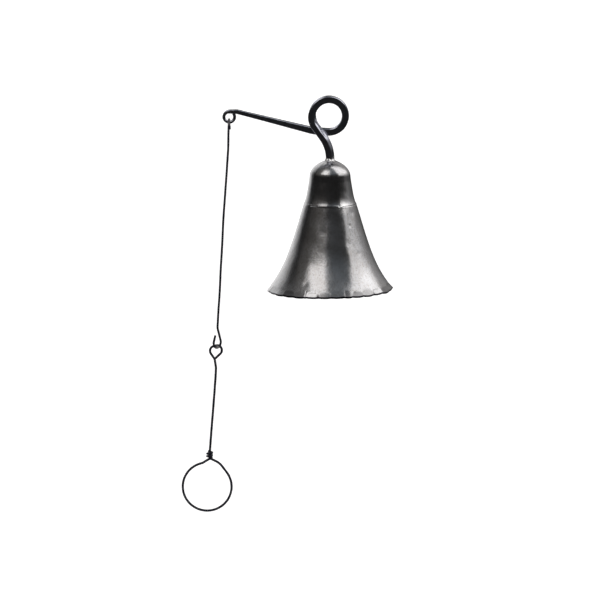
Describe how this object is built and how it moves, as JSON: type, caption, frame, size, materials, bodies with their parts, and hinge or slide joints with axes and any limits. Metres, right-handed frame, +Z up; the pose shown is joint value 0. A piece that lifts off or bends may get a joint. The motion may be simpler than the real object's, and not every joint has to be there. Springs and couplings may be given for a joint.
{
  "type": "lever bell",
  "caption": "Hanging lever bell: a forged bar with a hanging loop carries a flared steel bell on its stem and a linked wire pull with a finger ring on its arm.",
  "frame": {"origin": "centre of the hanging loop, midway between the front and back of its step", "axes": "+Z up along the bell's axis, +X from the pull towards the bell, -Y towards the viewer, +Y towards the wall"},
  "size_m": [0.2236, 0.1318, 0.4452],
  "materials": {
    "forged_iron": "hand forged, blackened and waxed",
    "bell_steel": "burnished dark steel, satin to glossy, hammered rim",
    "weld_metal": "brushed weld bead",
    "clapper_steel": "dark plain steel",
    "black_wire": "black annealed wire"
  },
  "bodies": {
    "bell_lever": {"lever_bar": "forged_iron", "bell_crown": "bell_steel", "bell_skirt": "bell_steel", "crown_seam_weld": "weld_metal", "stem_weld": "weld_metal", "clapper_staple": "clapper_steel"},
    "clapper": {"clapper_rod": "clapper_steel", "clapper_ball": "clapper_steel"},
    "upper_pull": {"upper_pull_wire": "black_wire"},
    "lower_pull": {"lower_pull_wire": "black_wire"}
  },
  "joints": [
    {"name": "clapper_swing", "type": "hinge", "parent": "bell_lever", "child": "clapper", "pos_m": [0.002, 0, -0.064], "axis": [0, 1, 0], "range_deg": [-20, 20]},
    {"name": "upper_pull_swing", "type": "hinge", "parent": "bell_lever", "child": "upper_pull", "pos_m": [-0.1044, 0.0045, -0.00165], "axis": [0, 1, 0], "range_deg": [-15, 75]},
    {"name": "lower_pull_swing", "type": "hinge", "parent": "upper_pull", "child": "lower_pull", "pos_m": [-0.11793, 0.00521, -0.24728], "axis": [0.668, 0.7431, -0.0385], "range_deg": [-75, 75]}
  ]
}
